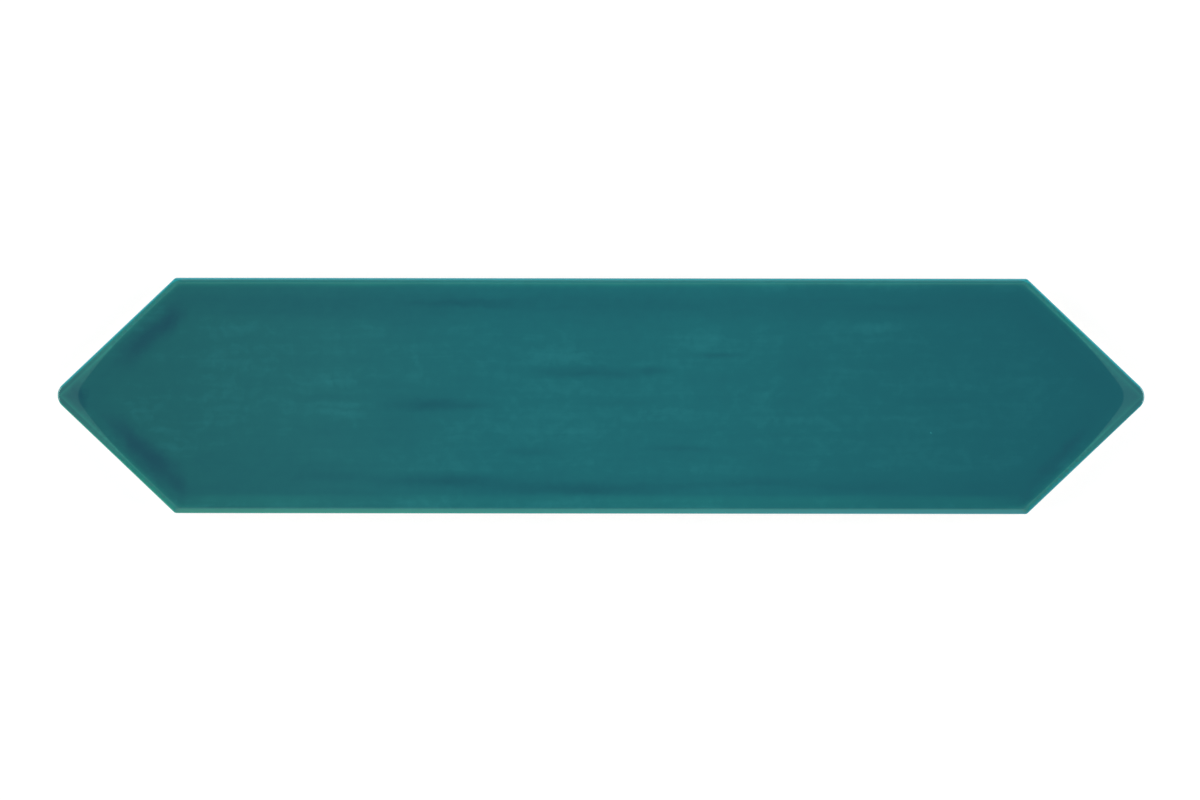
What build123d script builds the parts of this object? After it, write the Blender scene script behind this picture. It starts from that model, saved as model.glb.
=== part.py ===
"""Picket tile: one pressed, glazed and fired ceramic tile, 300 mm long with a rounded point at each end.

The tile lies flat with its glazed face up. The origin is the middle of the back, X runs from point to
point, Y across the long edges and Z up out of the face. All sizes are in millimetres.

The body is a straight-sided prism with a bevelled back edge. A sloping margin rises from the rim to the
flat of the face: it is narrow along the edges and widens into a broad facet at each point. The back has
a border and a net of ribs around shallow pressed cells, which key the tile into its adhesive.
"""

from build123d import *
import os
from math import atan2, degrees, radians, sin, tan

# Plan outline
LENGTH = 300.0  # over the two rounded points
WIDTH = 65.0  # across the long parallel edges
POINT_ANGLE = 87.0  # degrees, between the two sloping edges of a point
TIP_RADIUS = 4.0  # each point in plan
SHOULDER_RADIUS = 1.2  # where a sloping edge meets a long edge

# Height
THICKNESS = 9.0  # from the ribs of the back to the flat of the face
MARGIN_DROP = 0.9  # the rim lies this far below the flat of the face

# Flat of the face, inside the sloping margin
EDGE_MARGIN = 1.5  # width of the margin along the long edges
SLOPE_MARGIN = 1.7  # width of the margin along the sloping edges, from the shoulders to the flanks
FLANK_START = 20.0  # the flanks leave the sloping edges at this distance from the axis
TIP_MARGIN = 5.9  # width of the margin on the axis, at each point
FACE_TIP_RADIUS = 5.0  # the flat's own point in plan
FACE_SHOULDER_RADIUS = 2.4  # the flat's own shoulders in plan

# Softened edges
CREASE_RADIUS = 2.4  # between the flat and the margin
RIM_RADIUS = 0.5  # between the margin and the side
BACK_BEVEL = 0.8  # between the side and the back

# Pressed back
BACK_BORDER = 5.0  # from the side to the nearest cell
RIB_WIDTH = 2.2
CELL_PITCH_LONG = 20.0  # aimed for along the tile, and then fitted to the back in whole, even counts
CELL_PITCH_ACROSS = 14.0  # the same across the tile
CELL_DEPTH = 0.6
CELL_CORNER_RADIUS = 1.5
CELL_DRAFT = 30.0  # degrees, from upright
LEAST_CELL_WIDTH = 5.0  # a cell that the border cuts narrower than this is left out

# What follows from the sizes above
half_point = radians(POINT_ANGLE / 2)
apex_x = LENGTH / 2 + TIP_RADIUS * (1 / sin(half_point) - 1)  # where the sloping edges would meet
slope_turn = 90 - POINT_ANGLE / 2  # the way that the upper right sloping edge faces, from +X
slope_normal = Vector(1, 0).rotate(Axis.Z, slope_turn)
rim_z = THICKNESS - MARGIN_DROP


def slope_point(inset, y):
    """The point at a distance y from the axis on the upper right sloping edge, moved inwards by inset."""
    return Vector(apex_x - inset / sin(half_point) - y / tan(half_point), y)


def shoulder_arc(edge_inset, slope_inset, radius):
    """The arc between the long edge and the sloping edge, each moved inwards."""
    centre = slope_point(slope_inset + radius, WIDTH / 2 - edge_inset - radius)
    return CenterArc(centre, radius, slope_turn, 90 - slope_turn)


def closed_outline(upper_right, tip):
    """The face inside an outline that is given by its upper right edges, from the shoulder, and its point."""
    right = upper_right + [tip] + [edge.mirror(Plane.XZ) for edge in upper_right]
    left = [edge.mirror(Plane.YZ) for edge in right]
    corner = upper_right[0] @ 1
    long_edge = Line((-corner.X, corner.Y), corner)
    return make_face(right + left + [long_edge, long_edge.mirror(Plane.XZ)])


def outline_sketch():
    """The tile in plan. Its sloping edges are in two lengths, which face the two of the flat's outline."""
    shoulder = shoulder_arc(0, 0, SHOULDER_RADIUS)
    tip_centre = Vector(LENGTH / 2 - TIP_RADIUS, 0)
    tip = CenterArc(tip_centre, TIP_RADIUS, -slope_turn, 2 * slope_turn)
    middle = slope_point(0, FLANK_START)
    slope = [Line(shoulder @ 0, middle), Line(middle, tip @ 1)]
    return closed_outline([shoulder] + slope, tip)


def face_sketch():
    """The flat of the face in plan: it follows the edges, and each end bends in to a blunter point."""
    shoulder = shoulder_arc(EDGE_MARGIN, SLOPE_MARGIN, FACE_SHOULDER_RADIUS)
    flank_start = slope_point(SLOPE_MARGIN, FLANK_START)
    slope = Line(shoulder @ 0, flank_start)

    # The flank arc leaves the slope without a corner and ends touching the tip arc.
    tip_centre = Vector(LENGTH / 2 - TIP_MARGIN - FACE_TIP_RADIUS, 0)
    reach = tip_centre - flank_start
    gap = reach.dot(slope_normal) + FACE_TIP_RADIUS
    flank_radius = (FACE_TIP_RADIUS**2 - reach.length**2) / (2 * gap)
    flank_centre = flank_start - slope_normal * flank_radius
    across = tip_centre - flank_centre
    tip_turn = degrees(atan2(across.Y, across.X))
    flank = CenterArc(flank_centre, flank_radius, tip_turn, slope_turn - tip_turn)
    tip = CenterArc(tip_centre, FACE_TIP_RADIUS, -tip_turn, 2 * tip_turn)
    return closed_outline([shoulder, slope, flank], tip)


def blank():
    """The pressed tile before its back is marked: prism, sloping margin and softened edges."""
    outline = outline_sketch()
    rim_outline = outline.moved(Location((0, 0, rim_z)))
    face_outline = face_sketch().moved(Location((0, 0, THICKNESS)))
    solid = extrude(outline, rim_z) + loft([rim_outline, face_outline], ruled=True)
    crease = solid.edges().filter_by_position(Axis.Z, THICKNESS, THICKNESS)
    solid = fillet(crease, CREASE_RADIUS)
    rim = solid.edges().filter_by_position(Axis.Z, rim_z, rim_z)
    solid = fillet(rim, RIM_RADIUS)
    back_edge = solid.edges().filter_by_position(Axis.Z, 0, 0)
    return chamfer(back_edge, BACK_BEVEL)


def sharp_outline(inset):
    """The six sharp corners of the outline, moved inwards by inset, anticlockwise from the right point."""
    point = slope_point(inset, 0)
    shoulder = slope_point(inset, WIDTH / 2 - inset)
    return [
        (point.X, 0),
        (shoulder.X, shoulder.Y),
        (-shoulder.X, shoulder.Y),
        (-point.X, 0),
        (-shoulder.X, -shoulder.Y),
        (shoulder.X, -shoulder.Y),
    ]


def even_count(span, pitch):
    """The even number of cells whose pitch comes nearest to the one aimed for."""
    return max(2, 2 * round(span / pitch / 2))


def cell_sketches():
    """The cells of the back in plan: a grid with a rib crossing at its middle, cut off by the border."""
    field = make_face(Polyline(*sharp_outline(BACK_BORDER), close=True))
    size = field.bounding_box().size
    columns = even_count(size.X, CELL_PITCH_LONG)
    rows = even_count(size.Y, CELL_PITCH_ACROSS)
    pitch_x = (size.X + RIB_WIDTH) / columns
    pitch_y = (size.Y + RIB_WIDTH) / rows
    cell = Rectangle(pitch_x - RIB_WIDTH, pitch_y - RIB_WIDTH)
    cells = []
    for place in GridLocations(pitch_x, pitch_y, columns, rows):
        for piece in (field & place * cell).faces():
            extent = piece.bounding_box().size
            if min(extent.X, extent.Y) > LEAST_CELL_WIDTH and piece.area > LEAST_CELL_WIDTH**2:
                cells.append(piece)
    return cells


def rounded(face):
    """The face with every outward corner rounded."""
    inner = offset(face, amount=-CELL_CORNER_RADIUS, kind=Kind.INTERSECTION)
    return offset(inner, amount=CELL_CORNER_RADIUS, kind=Kind.ARC)


def tile():
    """The whole tile, with its pressed cells."""
    cells = [extrude(rounded(face), CELL_DEPTH, taper=CELL_DRAFT) for face in cell_sketches()]
    return blank() - cells


os.makedirs("parts", exist_ok=True)
export_step(tile(), "parts/picket_tile.step")
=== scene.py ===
"""A picket tile in teal glaze, lying face up on a pale table and seen from straight above.

The tile is modelled as it is made: a pressed blank with a sloping margin round its face and a net of ribs
on its back, then a coat of glaze that is a little uneven and ends in a wavering line on the sides. Lengths
are in metres, written as millimetres times MM.
"""

from math import atan2, cos, pi, radians, sin, tan

import bmesh
import bpy
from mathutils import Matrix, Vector, noise


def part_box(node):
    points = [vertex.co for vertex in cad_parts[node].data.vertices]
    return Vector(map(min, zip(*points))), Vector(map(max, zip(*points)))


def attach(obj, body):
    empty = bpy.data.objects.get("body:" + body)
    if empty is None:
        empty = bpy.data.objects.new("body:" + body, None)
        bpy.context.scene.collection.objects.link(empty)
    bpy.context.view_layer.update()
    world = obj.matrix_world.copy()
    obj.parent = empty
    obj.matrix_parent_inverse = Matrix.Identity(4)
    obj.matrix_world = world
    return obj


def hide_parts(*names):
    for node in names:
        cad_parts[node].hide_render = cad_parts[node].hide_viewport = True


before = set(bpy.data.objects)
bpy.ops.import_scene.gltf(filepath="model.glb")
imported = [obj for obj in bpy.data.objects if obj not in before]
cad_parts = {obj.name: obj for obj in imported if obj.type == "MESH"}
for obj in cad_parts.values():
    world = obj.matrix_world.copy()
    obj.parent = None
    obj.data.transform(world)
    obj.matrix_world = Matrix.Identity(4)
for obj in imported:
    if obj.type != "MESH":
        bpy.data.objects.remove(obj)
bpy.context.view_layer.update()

MM = 0.001
NODE = "picket_tile"

# The blank
HALF_LENGTH, HALF_WIDTH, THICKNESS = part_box(NODE)[1]
POINT_ANGLE = radians(87)  # between the two sloping edges of a point
TIP_RADIUS = 4 * MM
SHOULDER_RADIUS = 1.2 * MM
MARGIN_DROP = 0.9 * MM  # the rim lies this far below the flat of the face
EDGE_MARGIN = 1.5 * MM
SLOPE_MARGIN = 1.7 * MM
FLANK_START = 20 * MM  # from the axis to where the flat leaves the sloping edges and bends in to its point
TIP_MARGIN = 5.9 * MM
FACE_TIP_RADIUS = 5 * MM
FACE_SHOULDER_RADIUS = 2.4 * MM
CREASE_WIDTH = 0.25 * MM  # each side of the edge between the margin and the flat
RIM_WIDTH = 0.45 * MM  # each side of the edge between the margin and the side
BACK_BEVEL = 0.8 * MM

# The pressed back
BACK_BORDER = 5 * MM
RIB_WIDTH = 2.2 * MM
CELL_COLUMNS = 14
CELL_ROWS = 4
CELL_DEPTH = 0.6 * MM
CELL_CORNER_RADIUS = 0.9 * MM  # under half a rib, because a wider one folds over the next cell's
CELL_DRAFT = radians(30)
LEAST_CELL_WIDTH = 5 * MM
RIB_ROUNDING = 0.16 * MM  # each side of a rib's edges

# How finely the mesh follows the form
TIP_STEPS = 10
FLANK_STEPS = 12
SLOPE_STEPS = 4
SHOULDER_STEPS = 4
CREASE_STEPS = 4
RIM_STEPS = 5
CELL_CORNER_STEPS = 4
RIB_STEPS = 2
GRID = 1.5 * MM
SHARP_EDGE = radians(30)  # an edge that turns by more than this stays sharp
CLOSE = 0.0001 * MM  # what lies nearer than this counts as the same place
MERGE_DISTANCE = 0.001 * MM
LEANING = 0.9  # a face whose normal has less than this of Z leans
LEVEL = 0.99  # and one that has more than this is level
SIDEWAYS = 0.1  # a corner whose normal has less than this in plan doesn't face sideways

# The uneven face, as the glaze and the press leave it
WAVE_DEPTH = 0.09 * MM
WAVE_LENGTH = 38 * MM  # along the tile
WAVE_WIDTH = 13 * MM  # across it
WAVE_LAYERS = (0.9, 2.0, 2)  # of noise: how fast they fade, how much finer each is, how many

# Where the glaze ends on the sides
GLAZE_END = 3.3 * MM  # above the back, on average
GLAZE_WANDER = 1.5 * MM  # most that it rises or falls
GLAZE_WANDER_SIZE = 11 * MM
GLAZE_WANDER_LAYERS = (0.8, 2.0, 3)
GLAZE_LIP = 0.16 * MM  # height of its rounded end
GLAZE_COAT = 0.14 * MM  # the bare body lies this far behind it

half_point = POINT_ANGLE / 2
slope_turn = pi / 2 - half_point  # the way that a sloping edge faces, from +X
slope_normal = Vector((cos(slope_turn), sin(slope_turn)))
apex_x = HALF_LENGTH + TIP_RADIUS * (1 / sin(half_point) - 1)
rim_z = THICKNESS - MARGIN_DROP
side_foot = (CELL_DEPTH + BACK_BEVEL) / 2  # between the floors of the cells and the foot of the sides


def slope_point(inset, y):
    """The point at a distance y from the axis on the upper right sloping edge, moved inwards by inset."""
    return Vector((apex_x - inset / sin(half_point) - y / tan(half_point), y))


def arc(centre, radius, start, end, steps):
    """The points of an arc from one turn to another, with both its ends."""
    turns = [start + (end - start) * i / steps for i in range(steps + 1)]
    return [centre + radius * Vector((cos(turn), sin(turn))) for turn in turns]


def shoulder_arc(edge_inset, slope_inset, radius):
    """The arc between the sloping edge and the long edge, each moved inwards."""
    centre = slope_point(slope_inset + radius, HALF_WIDTH - edge_inset - radius)
    return arc(centre, radius, slope_turn, pi / 2, SHOULDER_STEPS)


def between(start, end, steps):
    """The points between two others, without these two."""
    return [start.lerp(end, i / steps) for i in range(1, steps)]


def rim_quarter():
    """A quarter of the tile's outline, from the right point to the upper long edge."""
    tip = arc(Vector((HALF_LENGTH - TIP_RADIUS, 0)), TIP_RADIUS, 0, slope_turn, TIP_STEPS)
    middle = slope_point(0, FLANK_START)
    shoulder = shoulder_arc(0, 0, SHOULDER_RADIUS)
    flank = between(tip[-1], middle, FLANK_STEPS)
    return tip + flank + [middle] + between(middle, shoulder[0], SLOPE_STEPS) + shoulder


def flat_quarter():
    """The same quarter of the flat of the face, point for point: its end bends in to a blunter point."""
    shoulder = shoulder_arc(EDGE_MARGIN, SLOPE_MARGIN, FACE_SHOULDER_RADIUS)
    middle = slope_point(SLOPE_MARGIN, FLANK_START)
    tip_centre = Vector((HALF_LENGTH - TIP_MARGIN - FACE_TIP_RADIUS, 0))

    # The flank arc leaves the slope without a corner and ends touching the tip arc.
    reach = tip_centre - middle
    gap = reach.dot(slope_normal) + FACE_TIP_RADIUS
    flank_radius = (FACE_TIP_RADIUS**2 - reach.length_squared) / (2 * gap)
    flank_centre = middle - slope_normal * flank_radius
    tip_turn = atan2(*(tip_centre - flank_centre).yx)

    tip = arc(tip_centre, FACE_TIP_RADIUS, 0, tip_turn, TIP_STEPS)
    flank = arc(flank_centre, flank_radius, tip_turn, slope_turn, FLANK_STEPS)
    return tip + flank[1:] + between(middle, shoulder[0], SLOPE_STEPS) + shoulder


def whole(quarter):
    """The closed outline, anticlockwise from the right point."""
    upper = list(quarter) + [Vector((-p.x, p.y)) for p in reversed(quarter)]
    return upper + [Vector((p.x, -p.y)) for p in reversed(upper[1:-1])]


def with_edges(faces):
    """The faces with their edges and corners, each once."""
    edges = dict.fromkeys(edge for face in faces for edge in face.edges)
    verts = dict.fromkeys(vert for face in faces for vert in face.verts)
    return [*verts, *edges, *faces]


def score(bm, geometry, point, normal):
    """Cuts the geometry along a plane and returns all that it has become."""
    return bmesh.ops.bisect_plane(bm, geom=geometry, dist=CLOSE, plane_co=point, plane_no=normal)["geom"]


def only_faces(geometry):
    """The faces among what an operator gives back."""
    return [item for item in geometry if isinstance(item, bmesh.types.BMFace)]


def raise_blank(bm):
    """The blank with its margin, as a closed solid with sharp edges. Returns its back and its flat."""
    back = bm.faces.new([bm.verts.new((*p, 0)) for p in whole(rim_quarter())])
    top = only_faces(bmesh.ops.extrude_face_region(bm, geom=with_edges([back]))["geom"])[0]
    for vert in top.verts:
        vert.co.z = rim_z
    flat = only_faces(bmesh.ops.extrude_face_region(bm, geom=with_edges([top]))["geom"])[0]
    for vert, place in zip(flat.verts, whole(flat_quarter())):
        vert.co = (*place, THICKNESS)
    return back, flat


def soften(bm, edges, width, steps):
    """Rounds the edges, up to a distance from each."""
    bmesh.ops.bevel(bm, geom=edges, offset=width, offset_type="OFFSET", segments=steps, profile=0.5,
                    affect="EDGES", material=-1, clamp_overlap=False)


def press_cells(bm, back):
    """Presses the cells into the back, between a border and a net of ribs."""
    geometry = with_edges([back])
    slope_offset = (apex_x - BACK_BORDER / sin(half_point)) * sin(half_point)
    for sx in (1, -1):
        for sy in (1, -1):
            normal = Vector((sx * slope_normal.x, sy * slope_normal.y, 0))
            geometry = score(bm, geometry, normal * slope_offset, normal)
    for sy in (1, -1):
        geometry = score(bm, geometry, (0, sy * (HALF_WIDTH - BACK_BORDER), 0), (0, 1, 0))

    field_x = slope_offset / sin(half_point)
    field_y = HALF_WIDTH - BACK_BORDER
    pitch_x = (2 * field_x + RIB_WIDTH) / CELL_COLUMNS
    pitch_y = (2 * field_y + RIB_WIDTH) / CELL_ROWS

    def in_field(face):
        p = face.calc_center_median()
        return abs(p.y) < field_y and abs(p.x) * sin(half_point) + abs(p.y) * cos(half_point) < slope_offset

    geometry = with_edges([face for face in only_faces(geometry) if in_field(face)])
    for normal, pitch, count in (((1, 0, 0), pitch_x, CELL_COLUMNS), ((0, 1, 0), pitch_y, CELL_ROWS)):
        for i in range(-count // 2, count // 2 + 1):
            for side in (-1, 1):
                place = Vector(normal) * (i * pitch + side * RIB_WIDTH / 2)
                geometry = score(bm, geometry, place, normal)

    def on_rib(place, pitch):
        return abs(place - round(place / pitch) * pitch) < RIB_WIDTH / 2

    def is_cell(face):
        p = face.calc_center_median()
        xs = [vert.co.x for vert in face.verts]
        ys = [vert.co.y for vert in face.verts]
        narrow = min(max(xs) - min(xs), max(ys) - min(ys)) < LEAST_CELL_WIDTH
        small = face.calc_area() < LEAST_CELL_WIDTH**2
        return not (narrow or small or on_rib(p.x, pitch_x) or on_rib(p.y, pitch_y))

    cells = [face for face in only_faces(geometry) if is_cell(face)]
    draft = CELL_DEPTH * tan(CELL_DRAFT)
    bmesh.ops.inset_individual(bm, faces=cells, thickness=draft, depth=0, use_even_offset=True)
    corners = []
    for cell in cells:
        floor = set(cell.verts)
        for vert in cell.verts:
            vert.co.z = CELL_DEPTH
            corners += [edge for edge in vert.link_edges if edge.other_vert(vert) not in floor]
    soften(bm, corners, CELL_CORNER_RADIUS, CELL_CORNER_STEPS)


def round_ribs(bm):
    """Takes the sharpness off the ribs and the floors of the cells, as pressed clay leaves its die."""
    bm.normal_update()

    def turns(edge):
        level = [abs(vert.co.z - height) < CLOSE for height in (0, CELL_DEPTH) for vert in edge.verts]
        leans = [abs(face.normal.z) for face in edge.link_faces]
        return (all(level[:2]) or all(level[2:])) and min(leans) < LEANING and max(leans) > LEVEL

    soften(bm, [edge for edge in bm.edges if turns(edge)], RIB_ROUNDING, RIB_STEPS)


def glaze_end(place):
    """How high above the back the glaze ends, on the side that passes this place."""
    wander = noise.fractal(Vector((place.x, place.y, 0)) / GLAZE_WANDER_SIZE, *GLAZE_WANDER_LAYERS)
    return GLAZE_END + GLAZE_WANDER * max(-1, min(1, wander))


def grid_glaze(bm):
    """Cuts the face and the sides into a grid, so that both can be uneven."""
    geometry = with_edges([face for face in bm.faces if min(vert.co.z for vert in face.verts) > side_foot])
    for axis, reach in ((0, HALF_LENGTH), (1, HALF_WIDTH)):
        normal = Vector((axis == 0, axis == 1, 0))
        for i in range(-int(reach / GRID), int(reach / GRID) + 1):
            geometry = score(bm, geometry, normal * (i * GRID), normal)
    for height in (GLAZE_END, GLAZE_END - GLAZE_LIP):
        geometry = score(bm, geometry, (0, 0, height), (0, 0, 1))


def trim_glaze(bm):
    """Sets the bare body back under the glaze, and lets the line where the glaze ends rise and fall."""
    bm.normal_update()
    ends = [vert for vert in bm.verts if GLAZE_END - 2 * GLAZE_LIP < vert.co.z < GLAZE_END + GLAZE_LIP]
    bare = [vert for vert in bm.verts if side_foot < vert.co.z < GLAZE_END - GLAZE_LIP / 2]
    sideways = [vert for vert in bare if vert.normal.xy.length > SIDEWAYS]
    back = {vert: -vert.normal.xy.normalized() * GLAZE_COAT for vert in sideways}
    for vert in ends:
        vert.co.z += glaze_end(vert.co) - GLAZE_END
    for vert, shift in back.items():
        vert.co.xy += shift


def sink_face(bm):
    """Lets the face sink by a little here and there, mostly in long, low waves."""
    lowest_z = rim_z - 2 * RIM_WIDTH
    for vert in bm.verts:
        share = min(1, max(0, (vert.co.z - lowest_z) / (rim_z - lowest_z)))
        place = Vector((vert.co.x / WAVE_LENGTH, vert.co.y / WAVE_WIDTH, 0))
        swell = 0.5 + 0.5 * noise.fractal(place, *WAVE_LAYERS)
        vert.co.z -= WAVE_DEPTH * share * min(1, max(0, swell))


def model_tile(glaze, biscuit):
    """The whole tile as one closed piece: glazed on its face and sides, and bare below."""
    bm = bmesh.new()
    back, flat = raise_blank(bm)
    rim = [edge for edge in bm.edges if all(abs(vert.co.z - rim_z) < CLOSE for vert in edge.verts)]
    crease = list(flat.edges)
    foot = list(back.edges)
    soften(bm, crease, CREASE_WIDTH, CREASE_STEPS)
    soften(bm, rim, RIM_WIDTH, RIM_STEPS)
    soften(bm, foot, BACK_BEVEL, 1)
    press_cells(bm, min(bm.faces, key=lambda face: face.calc_center_median().z))
    round_ribs(bm)
    grid_glaze(bm)
    trim_glaze(bm)
    sink_face(bm)
    bmesh.ops.remove_doubles(bm, verts=bm.verts, dist=MERGE_DISTANCE)
    bmesh.ops.recalc_face_normals(bm, faces=bm.faces)

    height = bm.verts.layers.float.new("glaze_height")
    for vert in bm.verts:
        vert[height] = vert.co.z - glaze_end(vert.co)
    for face in bm.faces:
        face.smooth = True
        face.material_index = int(max(vert[height] for vert in face.verts) < -GLAZE_LIP / 2)
    for edge in bm.edges:
        edge.smooth = edge.calc_face_angle(0) < SHARP_EDGE
    mesh = bpy.data.meshes.new("glazed_picket")
    bm.to_mesh(mesh)
    bm.free()
    mesh.materials.append(glaze)
    mesh.materials.append(biscuit)
    tile = bpy.data.objects.new("glazed_picket", mesh)
    bpy.context.scene.collection.objects.link(tile)
    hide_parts(NODE)
    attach(tile, "root")


# Colours of the glaze at full thickness, by place along the tile
GLAZE_DRIFT = [(-125 * MM, "#1b5d61"), (-75 * MM, "#1e6469"), (-30 * MM, "#1a656c"), (28 * MM, "#1a666d"),
               (83 * MM, "#175f67"), (125 * MM, "#145a63")]
STREAK_GLAZE = "#104555"  # where it is brushed on thick
POOL_GLAZE = "#153c52"  # where it has run together
LIGHT_GLAZE = "#38989d"  # where it is brushed on thin
MARGIN_GLAZE = "#30a28e"  # thin over the sloping margin
RIM_GLAZE_AND_HIGHLIGHT = "#1ca8b4"  # thinnest, over the rim, and made brighter as a painted highlight of the light from the far side
LOWER_RIM_DRIFT = [(-60 * MM, "#1cb08c"), (70 * MM, "#1ca8b4")]  # the same over the lower rim, by place
BISCUIT = "#e0d6c4"  # the fired body under it

# Shares of margin glaze and of rim glaze by how far the surface leans: 0 on an upright side, 1 on the flat
MARGIN_BY_LEAN = [(0.7, 0.0), (0.8, 0.14), (0.865, 0.14), (0.88, 0.3), (0.92, 0.22), (0.985, 0.07),
                  (0.992, 0.045), (0.999, 0.0)]
# The upper rim takes more of the rim colour than the lower: a painted highlight of the light from the far
# side
LIT_UPPER_RIM_BY_LEAN = [(0.0, 0.35), (0.3, 0.8), (0.78, 0.75), (0.84, 0.06), (0.865, 0.06), (0.88, 0.0)]
LOWER_RIM_BY_LEAN = [(0.0, 0.35), (0.4, 0.5), (0.76, 0.5), (0.84, 0.22), (0.865, 0.22), (0.88, 0.0)]

# Shares by the distance from the outline, as parts of EDGE_REACH: rim glaze with a painted highlight in the
# upper half, margin glaze (with its own share along the near long edge), and thick glaze in the shallow
# valley inside them
EDGE_REACH = 12 * MM
LIT_UPPER_RIM_BAND = [(0.01, 0.0), (0.02, 0.65), (0.032, 0.55), (0.045, 0.24), (0.065, 0.0)]
THIN_BAND = [(0.112, 0.0), (0.145, 0.17), (0.17, 0.1), (0.2, 0.045), (0.25, 0.0)]
THIN_BAND_NEAR = [(0.12, 0.0), (0.16, 0.05), (0.3, 0.06), (0.38, 0.05), (0.45, 0.0)]
VALLEY = [(0.3, 0.0), (0.5, 0.1), (0.8, 0.07), (1.0, 0.0)]

# Marks of glaze in these colours, listed one by one: middle x and y, half length and half width in
# millimetres, turn in degrees, strength
POOLS = [
    (-129, 12, 9, 4.6, 43.5, 0.34),
    (-123.8, 16.8, 9.6, 5, 43.5, 0.4),
    (-118.8, 21.6, 8, 4.6, 43.5, 0.44),
    (-131.6, -9.6, 8.6, 4.4, -43.5, 0.34),
    (-126, -14.9, 9.8, 5.4, -43.5, 0.5),
    (-120.2, -20.6, 9, 5.2, -43.5, 0.42),
    (-116, -25.4, 5.5, 4, -50, 0.25),
    (129.5, -13.6, 8, 3, 43.5, 0.28),
    (123, -20, 9.5, 3.2, 43.5, 0.22),
    (118, -27, 5.5, 2.4, 60, 0.15),
]
STREAKS = [
    (-45, -2.6, 18, 2.9, 0, 0.36),
    (-75, -0.6, 17.2, 1.7, 0, 0.15),
    (-4, 6.4, 26, 2.7, 0, 0.29),
    (14, 7.2, 8, 1.8, 0, 0.27),
    (32, 11.2, 8.6, 1.2, 0, 0.26),
    (-38, 25.4, 24, 2, 0, 0.26),
    (20, 24.4, 17.2, 1.4, 0, 0.09),
    (80, 24.4, 20.6, 1.9, 0, 0.14),
    (-74, -22.3, 17.2, 2.4, 1, 0.17),
    (-42, -23.6, 26, 3.4, 0, 0.38),
    (-6, -25.4, 36, 2.7, 0, 0.34),
    (26, -24.4, 22.4, 1.5, 0, 0.13),
    (72, -25, 22.4, 2.6, 0, 0.17),
    (-20, -15.2, 14, 1.8, 0, 0.2),
    (21, -14.7, 15, 1.5, 0, 0.18),
    (25, -9.8, 8.6, 1.9, 0, 0.07),
    (0, -2.1, 10.3, 1.2, 0, 0.07),
    (92, -1.2, 18.9, 1.5, 0, 0.09),
    (78, 8.3, 12, 1.5, 0, 0.07),
    (-85, 27, 43, 10.3, 0, 0.15),
    (-92, -20, 25.8, 10.3, 0, 0.09),
    (-55, -9, 15.5, 8.6, 0, 0.12),
    (-108, -19, 10.3, 5.2, 0, 0.1),
    (-144, 0.5, 2.8, 9.5, 0, 0.5),
    (129.4, 17.2, 17.2, 1.4, -43.5, 0.13),
    (48, -24, 18, 2.2, 0, 0.14),
    (56, 8, 9, 8, 0, 0.07),
    (8, -1.8, 14, 1.2, 0, 0.07),
    (-51, -1.4, 15, 3.6, 0, 0.13),
    (104, -26, 16, 4, 0, 0.1),
    (-75, -9.6, 15, 3.4, 0, 0.08),
    (-76, -19.6, 18, 1.8, 2, 0.12),
    (-54, 18, 12, 5, 0, 0.08),
    (-84, 8.5, 12, 3.6, 0, 0.06),
    (-7, 5.8, 9, 0.9, 0, 0.12),
    (-36, -3.1, 8, 1.1, 0, 0.1),
    (-5, -26.7, 14, 1, 0, 0.14),
    (0, 24.5, 140, 9, 0, 0.11),
    (148, 0, 3.6, 8, 0, 0.12),
    (-146.6, 0, 2.6, 7, 0, 0.08),
]
LIGHT_STREAKS = [
    (-74, 3.6, 15.5, 1.5, 0, 0.09),
    (-10, 11, 20.6, 4.3, 0, 0.06),
    (-6, -10, 13.8, 3.4, 0, 0.05),
    (18, -5, 15.5, 2.6, 0, 0.07),
    (50, -7, 13.8, 2.1, 0, 0.06),
    (29, 15, 7.7, 4.3, 0, 0.06),
    (76, 18.6, 10.3, 2.1, 0, 0.06),
    (76, -19, 9.5, 2.9, 0, 0.05),
    (-62, -8, 22.4, 4.3, 0, 0.03),
    (110, -18, 8.6, 4.3, 0, 0.05),
    (42, -1.5, 13, 7, 0, 0.05),
    (-72, -4.7, 10, 1.4, 0, 0.06),
    # a single tiny pale speck
    (90.7, -9.9, 0.4, 0.4, 0, 0.6),
]

# The glaze's own pattern: long strokes, clouds and fine mottling
BRUSH_STROKES = [(60 * MM, 4 * MM, 0.04), (22 * MM, 1.3 * MM, 0.03)]  # length, width, depth
CLOUDS = [(16 * MM, 0.05), (2.4 * MM, 0.05)]  # size, depth
CALM = (45 * MM, 95 * MM, 1, 0.6)  # the pattern fades between these places along the tile, to this share
PATCH_SIZE = 22 * MM
PATCH_RANGE = (0.5, 1.4)  # from the palest patch of the thin bands to the strongest
FLOWS = [(8 * MM, (7 * MM, 2 * MM, 0)), (1.8 * MM, (2.4 * MM, 1.1 * MM, 0))]  # size, reach along and across
NOISE_SPAN = (0.3, 0.7)  # nearly all the values of a noise texture lie between these

# Where one part of the glaze gives way to the next
EDGE_BLEND = 2 * MM  # round the corner between two edges
HALF_BLEND = (-4 * MM, 4 * MM)  # across the tile, from its lower half to its upper half
LONG_EDGE_BLEND = (-2 * MM, 6 * MM)  # by how much nearer a long edge is than a sloping one
RIM_LEAN = (0.3, 0.7)  # from the upright side to the rim

# The glaze's surface
ORANGE_PEEL_SIZE = 4 * MM
ORANGE_PEEL_DEPTH = 0.012 * MM
PINHOLE_SPACING = 34 * MM
PINHOLE_RADIUS = 0.22 * MM
PINHOLE_DEPTH = 3  # times the orange peel's
DULL_PATCH_SIZE = 16 * MM
GLAZE_ROUGHNESS = (0.05, 0.1)
CERAMIC_IOR = 1.5

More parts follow.
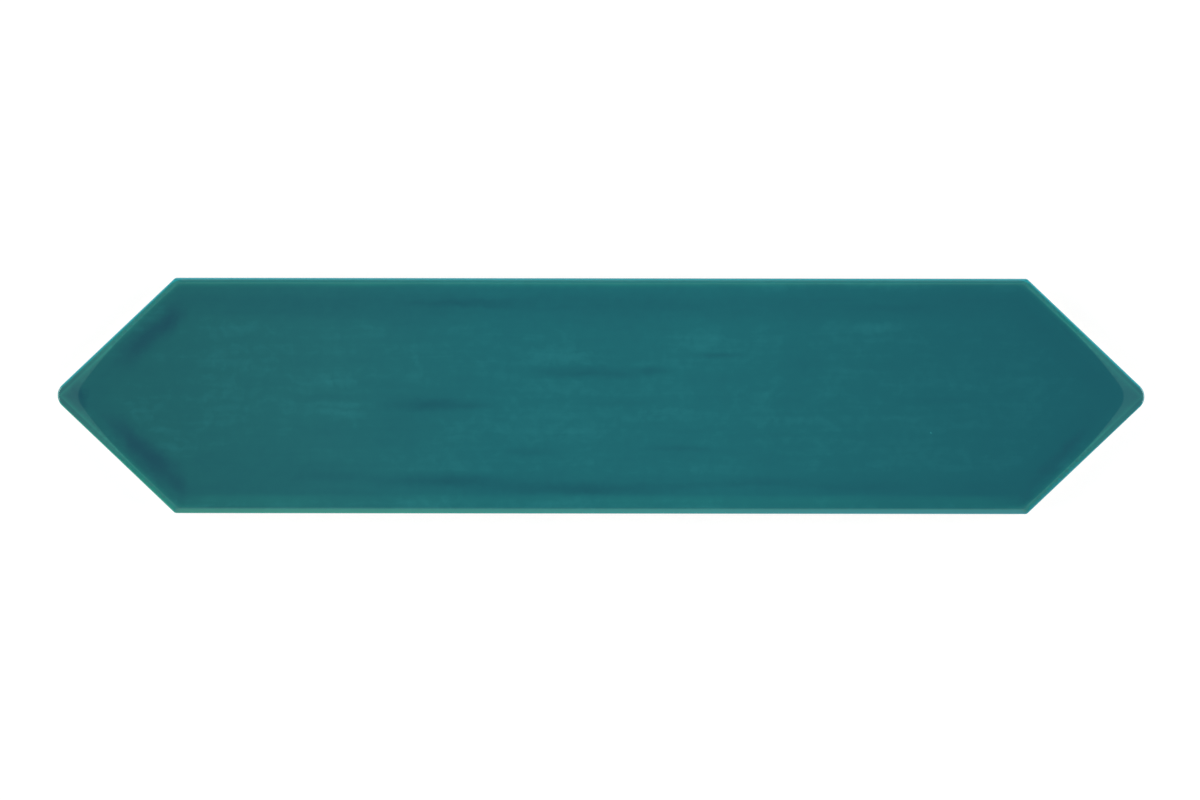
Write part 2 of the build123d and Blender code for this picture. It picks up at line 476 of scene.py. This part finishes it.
# Share of pooled glaze and of bare body by height over the glaze's end, up to END_REACH
END_REACH = 2 * MM
ROLL_BY_HEIGHT = [(0.05, 0.0), (0.2, 0.6), (0.45, 0.4), (1.0, 0.0)]
BARE_BY_HEIGHT = [(0.0, 0.5), (0.08, 0.2), (0.16, 0.0)]

# The bare body
STAIN = "#cdbda4"
STAIN_SIZE = 24 * MM
STAIN_SHARE = (0.35, 0.7, 0, 0.55)  # from these values of its noise, to these shares
GRAIN = "#b3a58f"
GRAIN_SIZE = 0.5 * MM  # the pressed powder's own grain is finer, and is drawn this coarse so that it shows
GRAIN_SHARE = (0.45, 0.8, 0, 0.35)
GRAIN_DEPTH = 0.04 * MM
KILN_WASH = "#f1ece2"
RUB_SIZE = 6 * MM
RUB_SHARE = (0.42, 0.62)
RUB_HEIGHT = (0.25 * MM, 0.02 * MM)  # the rubbing begins below the first height and is full at the second
IRON = "#7b5a3e"
SPECK_SPACING = 5 * MM
SPECK_RADIUS = 0.28 * MM
SPECK_CORE = 0.4  # share of its radius where a speck has its full colour
SPECK_CHOICE = (0.68, 0.72)  # about three places in ten have a speck
BISCUIT_ROUGHNESS = 0.85


def linear(code):
    """An sRGB hex colour as linear red, green, blue and alpha."""
    parts = [int(code[i : i + 2], 16) / 255 for i in (1, 3, 5)]
    return (*(c / 12.92 if c <= 0.04045 else ((c + 0.055) / 1.055) ** 2.4 for c in parts), 1)


def add(tree, kind, inputs=(), stops=(), **settings):
    """Adds a shader node with its settings, its inputs and its ramp's stops, and returns its outputs.

    Inputs go by name or by order, and each is a value or the output that it is linked to. Stops are
    (place, colour), and a colour may be a plain number.
    """
    made = tree.nodes.new("ShaderNode" + kind)
    for name, value in settings.items():
        setattr(made, name, value)
    for name, value in inputs.items() if isinstance(inputs, dict) else enumerate(inputs):
        if isinstance(value, bpy.types.NodeSocket):
            tree.links.new(value, made.inputs[name])
        else:
            made.inputs[name].default_value = value
    if stops:
        elements = made.color_ramp.elements
        while len(elements) < len(stops):
            elements.new(1)
        for element, (place, colour) in zip(elements, stops):
            element.position = place
            element.color = colour if isinstance(colour, tuple) else (colour, colour, colour, 1)
    return made.outputs


def new_material(name):
    """A material with an empty node tree, and that tree."""
    material = bpy.data.materials.new(name)
    material.use_nodes = True
    material.node_tree.nodes.clear()
    return material, material.node_tree


def marks(tree, place, shapes):
    """Soft-edged ovals, added up: each is its strength round its middle and 0 from its edge outwards."""
    total = 0
    for x, y, half_length, half_width, turn, strength in shapes:
        oval = add(tree, "Mapping", {
            "Vector": place,
            "Location": (x * MM, y * MM, 0),
            "Rotation": (0, 0, radians(turn)),
            "Scale": (half_length * MM, half_width * MM, 1),
        }, vector_type="TEXTURE")[0]
        flat = add(tree, "VectorMath", (oval, (1, 1, 0)), operation="MULTIPLY")[0]
        fade = add(tree, "TexGradient", (flat,), gradient_type="SPHERICAL")["Fac"]
        soft = add(tree, "MapRange", {"Value": fade, "To Max": strength}, interpolation_type="SMOOTHSTEP")[0]
        total = add(tree, "Math", (soft, total), operation="ADD")[0]
    return total


def flowed(tree, at):
    """The place, pushed out of line by a millimetre or so, as the glaze's own flow does to every mark."""
    place = at
    for size, reach in FLOWS:
        flow = add(tree, "TexNoise", {"Vector": at, "Scale": 1 / size, "Detail": 3})["Color"]
        off = add(tree, "VectorMath", (flow, (0.5, 0.5, 0.5)), operation="SUBTRACT")[0]
        place = add(tree, "VectorMath", (off, reach, place), operation="MULTIPLY_ADD")[0]
    return place


def glaze_material():
    """Glossy glaze, brushed on and fired: a wet shine over clear stained glass.

    It is paler where it lies thin over the white body, on the margin and the rim, and darker and bluer where
    it is brushed on thick or has run together.
    """
    material, tree = new_material("glossy_teal_glaze")
    at = add(tree, "TexCoord")["Object"]
    axes = add(tree, "SeparateXYZ", (at,))
    place = flowed(tree, at)
    normal = add(tree, "NewGeometry")["Normal"]
    lean = add(tree, "SeparateXYZ", (normal,))["Z"]
    height = add(tree, "Attribute", attribute_name="glaze_height")["Fac"]

    # Distance from the outline, and which half and which edge the place belongs to
    size = add(tree, "VectorMath", (at,), operation="ABSOLUTE")[0]
    outward = (slope_normal.x, slope_normal.y, 0)
    reach = add(tree, "VectorMath", (size, outward), operation="DOT_PRODUCT")["Value"]
    to_slope = add(tree, "Math", (apex_x * sin(half_point), reach), operation="SUBTRACT")[0]
    across = add(tree, "SeparateXYZ", (size,))["Y"]
    to_long = add(tree, "Math", (HALF_WIDTH, across), operation="SUBTRACT")[0]
    to_edge = add(tree, "Math", (to_slope, to_long, EDGE_BLEND), operation="SMOOTH_MIN")[0]
    far = add(tree, "MapRange", (to_edge, 0, EDGE_REACH))[0]
    upper = add(tree, "MapRange", (axes["Y"], *HALF_BLEND))[0]
    lower = add(tree, "Math", (1, upper), operation="SUBTRACT")[0]
    nearer = add(tree, "Math", (to_slope, to_long), operation="SUBTRACT")[0]
    by_long_edge = add(tree, "MapRange", (nearer, *LONG_EDGE_BLEND))[0]
    by_near_edge = add(tree, "Math", (by_long_edge, lower), operation="MULTIPLY")[0]

    # Full thickness
    flowed_x = add(tree, "SeparateXYZ", (place,))["X"]
    along = add(tree, "MapRange", (flowed_x, -HALF_LENGTH, HALF_LENGTH))[0]
    colour, lower_rim_glaze = (
        add(tree, "ValToRGB", (along,), [(x / (2 * HALF_LENGTH) + 0.5, linear(code)) for x, code in drift])[0]
        for drift in (GLAZE_DRIFT, LOWER_RIM_DRIFT)
    )

    # Strokes, clouds and mottling: thicker and thinner by turns
    layers = []
    for length, width, depth in BRUSH_STROKES:
        stretched = add(tree, "Mapping", {"Vector": place, "Scale": (1 / length, 1 / width, 0)})[0]
        strokes = add(tree, "TexNoise", {"Vector": stretched, "Scale": 1, "Detail": 3})[0]
        layers.append((strokes, depth))
    for cloud_size, depth in CLOUDS:
        clouds = add(tree, "TexNoise", {"Vector": place, "Scale": 1 / cloud_size, "Detail": 4})[0]
        layers.append((clouds, depth))
    pattern = 0
    for layer, depth in layers:
        share = add(tree, "MapRange", (layer, *NOISE_SPAN, -depth, depth))[0]
        pattern = add(tree, "Math", (pattern, share), operation="ADD")[0]
    calm = add(tree, "MapRange", (axes["X"], *CALM))[0]
    valley = add(tree, "ValToRGB", (far,), VALLEY)[0]
    thick = add(tree, "Math", (pattern, calm, valley), operation="MULTIPLY_ADD")[0]
    thick = add(tree, "Math", (marks(tree, place, STREAKS), thick), operation="ADD")[0]
    light = add(tree, "Math", (marks(tree, place, LIGHT_STREAKS), thick), operation="SUBTRACT")[0]
    pooled = marks(tree, place, POOLS)
    for share, code in ((thick, STREAK_GLAZE), (light, LIGHT_GLAZE), (pooled, POOL_GLAZE)):
        colour = add(tree, "Mix", {0: share, 6: colour, 7: linear(code)}, data_type="RGBA")[2]

    # Thin over the margin
    far_band = add(tree, "ValToRGB", (far,), THIN_BAND)[0]
    near_band = add(tree, "ValToRGB", (far,), THIN_BAND_NEAR)[0]
    band = add(tree, "Mix", {0: by_near_edge, 2: far_band, 3: near_band})[0]
    patches = add(tree, "TexNoise", {"Vector": at, "Scale": 1 / PATCH_SIZE, "Detail": 2})[0]
    patchy = add(tree, "MapRange", (patches, *NOISE_SPAN, *PATCH_RANGE))[0]
    on_margin = add(tree, "ValToRGB", (lean,), MARGIN_BY_LEAN)[0]
    thin = add(tree, "Math", (band, patchy, on_margin), operation="MULTIPLY_ADD")[0]
    colour = add(tree, "Mix", {0: thin, 6: colour, 7: linear(MARGIN_GLAZE)}, data_type="RGBA")[2]

    # Thinnest over the rim, with a painted highlight over the upper rim
    lower_rim = add(tree, "ValToRGB", (lean,), LOWER_RIM_BY_LEAN)[0]
    lit_upper_lean = add(tree, "ValToRGB", (lean,), LIT_UPPER_RIM_BY_LEAN)[0]
    lit_upper_band = add(tree, "ValToRGB", (far,), LIT_UPPER_RIM_BAND)[0]
    lit_upper_rim = add(tree, "Math", (lit_upper_lean, lit_upper_band), operation="MAXIMUM")[0]
    rim = add(tree, "Mix", {0: upper, 2: lower_rim, 3: lit_upper_rim})[0]
    over_side = add(tree, "MapRange", (lean, *RIM_LEAN))[0]
    drifts = add(tree, "Math", (lower, over_side), operation="MULTIPLY")[0]
    rim_glaze_and_highlight = add(tree, "Mix", {0: drifts, 6: linear(RIM_GLAZE_AND_HIGHLIGHT), 7: lower_rim_glaze}, data_type="RGBA")[2]
    colour = add(tree, "Mix", {0: rim, 6: colour, 7: rim_glaze_and_highlight}, data_type="RGBA")[2]

    # A thick roll where the glaze ends, and the body showing through its very edge
    over_end = add(tree, "MapRange", (height, 0, END_REACH))[0]
    for by_height, code in ((ROLL_BY_HEIGHT, POOL_GLAZE), (BARE_BY_HEIGHT, BISCUIT)):
        share = add(tree, "ValToRGB", (over_end,), by_height)[0]
        colour = add(tree, "Mix", {0: share, 6: colour, 7: linear(code)}, data_type="RGBA")[2]

    # Orange peel and a few pinholes
    peel = add(tree, "TexNoise", {"Vector": at, "Scale": 1 / ORANGE_PEEL_SIZE, "Detail": 1})[0]
    hole = add(tree, "TexVoronoi", {"Vector": at, "Scale": 1 / PINHOLE_SPACING})["Distance"]
    pit = add(tree, "MapRange", (hole, 0, PINHOLE_RADIUS / PINHOLE_SPACING))[0]
    relief = add(tree, "Math", (pit, PINHOLE_DEPTH, peel), operation="MULTIPLY_ADD")[0]
    bump = add(tree, "Bump", {"Height": relief, "Distance": ORANGE_PEEL_DEPTH})[0]
    dull = add(tree, "TexNoise", {"Vector": place, "Scale": 1 / DULL_PATCH_SIZE, "Detail": 4})[0]
    dullness = add(tree, "MapRange", (dull, *NOISE_SPAN, *GLAZE_ROUGHNESS))[0]

    shader = add(tree, "BsdfPrincipled", {
        "Base Color": colour, "Roughness": dullness, "IOR": CERAMIC_IOR, "Normal": bump,
    })[0]
    add(tree, "OutputMaterial", {"Surface": shader})
    return material


def biscuit_material():
    """Fired white earthenware, pressed from powder: dry and matt, with a fine grain and a few iron specks."""
    material, tree = new_material("fired_white_biscuit")
    at = add(tree, "TexCoord")["Object"]
    height = add(tree, "SeparateXYZ", (at,))["Z"]
    clouds = add(tree, "TexNoise", {"Vector": at, "Scale": 1 / STAIN_SIZE, "Detail": 5})[0]
    stained = add(tree, "MapRange", (clouds, *STAIN_SHARE))[0]
    grain = add(tree, "TexNoise", {"Vector": at, "Scale": 1 / GRAIN_SIZE, "Detail": 3})[0]
    grained = add(tree, "MapRange", (grain, *GRAIN_SHARE))[0]

    # The ribs have rubbed on the kiln shelf and picked up its pale wash.
    on_rib = add(tree, "MapRange", (height, *RUB_HEIGHT))[0]
    rub = add(tree, "TexNoise", {"Vector": at, "Scale": 1 / RUB_SIZE, "Detail": 5})[0]
    patchy = add(tree, "MapRange", (rub, *RUB_SHARE))[0]
    rubbed = add(tree, "Math", (on_rib, patchy), operation="MULTIPLY")[0]

    spots = add(tree, "TexVoronoi", {"Vector": at, "Scale": 1 / SPECK_SPACING})
    radius = SPECK_RADIUS / SPECK_SPACING
    spot = add(tree, "MapRange", (spots["Distance"], radius, SPECK_CORE * radius))[0]
    chance = add(tree, "SeparateXYZ", (spots["Color"],))["X"]
    chosen = add(tree, "MapRange", (chance, *SPECK_CHOICE))[0]
    specked = add(tree, "Math", (spot, chosen), operation="MULTIPLY")[0]

    colour = linear(BISCUIT)
    for share, code in ((stained, STAIN), (grained, GRAIN), (rubbed, KILN_WASH), (specked, IRON)):
        colour = add(tree, "Mix", {0: share, 6: colour, 7: linear(code)}, data_type="RGBA")[2]
    bump = add(tree, "Bump", {"Height": grain, "Distance": GRAIN_DEPTH})[0]
    shader = add(tree, "BsdfPrincipled", {
        "Base Color": colour, "Roughness": BISCUIT_ROUGHNESS, "IOR": CERAMIC_IOR, "Normal": bump,
    })[0]
    add(tree, "OutputMaterial", {"Surface": shader})
    return material


# The view: straight down, with the photograph's 1200 pixels spanning FIELD
FIELD = 330.9 * MM
LENS = 135  # focal length in millimetres
SENSOR = 36  # width in millimetres
LOOK_AT = Vector((-0.28 * MM, -1.12 * MM, THICKNESS))
ROLL = radians(0.07)  # the photographed tile lies turned by this


def place_camera():
    """The camera, straight over the tile."""
    lens = bpy.data.cameras.new("view_from_above")
    lens.lens = LENS
    lens.sensor_width = SENSOR
    camera = bpy.data.objects.new("view_from_above", lens)
    camera.location = LOOK_AT + Vector((0, 0, FIELD * LENS / SENSOR))
    camera.rotation_euler = (0, 0, ROLL)
    bpy.context.scene.collection.objects.link(camera)
    bpy.context.scene.camera = camera


WHITE = (1, 1, 1, 1)

# The table
TABLE_REACH = 4  # metres from its middle to its edges
TABLE_GAP = 0.05 * MM  # between it and the tile's back
TABLE_PAINT = "#dedede"  # its colour in the light that it throws back
TABLE_SHADE = (0.28, 0.28, 0.28, 1)  # as seen, the part of it that takes the tile's shadow
TABLE_LIFT = 0.77  # and the part that is white whatever falls on it


def lay_table():
    """The pale table in matt paint: white, with a soft shadow and no glare.

    From below nothing of it shows, so that the back of the tile can be seen.
    """
    material, tree = new_material("pale_matt_paint")
    paint = add(tree, "BsdfDiffuse", {"Color": linear(TABLE_PAINT)})[0]
    shade = add(tree, "BsdfDiffuse", {"Color": TABLE_SHADE})[0]
    lift = add(tree, "Emission", {"Color": WHITE, "Strength": TABLE_LIFT})[0]
    lifted = add(tree, "AddShader", (shade, lift))[0]
    path = add(tree, "LightPath")
    seen = add(tree, "Math", (path["Is Camera Ray"], path["Is Glossy Ray"]), operation="MAXIMUM")[0]
    top = add(tree, "MixShader", (seen, paint, lifted))[0]
    behind = add(tree, "NewGeometry")["Backfacing"]
    passes = add(tree, "Math", (behind, path["Is Shadow Ray"]), operation="MAXIMUM")[0]
    clear = add(tree, "BsdfTransparent")[0]
    surface = add(tree, "MixShader", (passes, top, clear))[0]
    add(tree, "OutputMaterial", {"Surface": surface})
    bm = bmesh.new()
    bmesh.ops.create_grid(bm, x_segments=1, y_segments=1, size=TABLE_REACH)
    bmesh.ops.translate(bm, verts=bm.verts, vec=(0, 0, -TABLE_GAP))
    mesh = bpy.data.meshes.new("pale_table")
    bm.to_mesh(mesh)
    bm.free()
    mesh.materials.append(material)
    table = bpy.data.objects.new("pale_table", mesh)
    bpy.context.scene.collection.objects.link(table)


# How bright the room is by the height of the direction, from 0 level with the table to 1 overhead
ROOM_LEVELS = [(0.0, 0.6), (0.25, 0.45), (0.42, 0.3), (0.47, 0.12), (0.5, 0.12), (0.55, 0.42), (0.93, 0.43),
               (0.985, 0.14), (1.0, 0.1)]
ROOM_STRENGTH = 1.08

# The lamps: name, place, width and height in metres, power in watts
LAMPS = [
    ("left_softbox", (-1.3, 0.1, 0.75), 1.1, 0.5, 15),
    ("right_softbox", (1.3, 0.1, 0.75), 1.1, 0.5, 15),
    ("near_panel", (0, -1.3, 0.7), 2.2, 0.5, 2.4),
    ("far_panel", (0, 1.4, 0.38), 2.2, 0.4, 1.5),
]
UNDER_LIGHT = ("under_light", (-0.7, -0.5, -0.6), 1.0, 0.6, 8)  # lights the back, and shows in no reflection


def softbox(name, place, width, height, power):
    """A soft lamp that faces the tile and doesn't show itself."""
    lamp = bpy.data.lights.new(name, "AREA")
    lamp.shape = "RECTANGLE"
    lamp.size = width
    lamp.size_y = height
    lamp.energy = power
    box = bpy.data.objects.new(name, lamp)
    box.location = place
    box.rotation_euler = (-Vector(place)).to_track_quat("-Z", "Y").to_euler()
    box.visible_camera = False
    bpy.context.scene.collection.objects.link(box)
    return box


def light_room():
    """A room that is dark overhead and pale towards its walls, with soft lamps at the sides."""
    world = bpy.data.worlds.new("studio")
    world.use_nodes = True
    tree = world.node_tree
    tree.nodes.clear()
    direction = add(tree, "TexCoord")["Generated"]
    height = add(tree, "SeparateXYZ", (direction,))["Z"]
    level = add(tree, "ValToRGB", (height,), ROOM_LEVELS)[0]
    room = add(tree, "Background", {"Color": level, "Strength": ROOM_STRENGTH})[0]
    white = add(tree, "Background", {"Color": WHITE, "Strength": 1})[0]
    seen = add(tree, "LightPath")["Is Camera Ray"]
    surface = add(tree, "MixShader", (seen, room, white))[0]
    add(tree, "OutputWorld", {"Surface": surface})
    bpy.context.scene.world = world
    for lamp in LAMPS:
        softbox(*lamp)
    softbox(*UNDER_LIGHT).visible_glossy = False


bpy.context.scene.view_settings.view_transform = "Standard"
model_tile(glaze_material(), biscuit_material())
lay_table()
light_room()
place_camera()
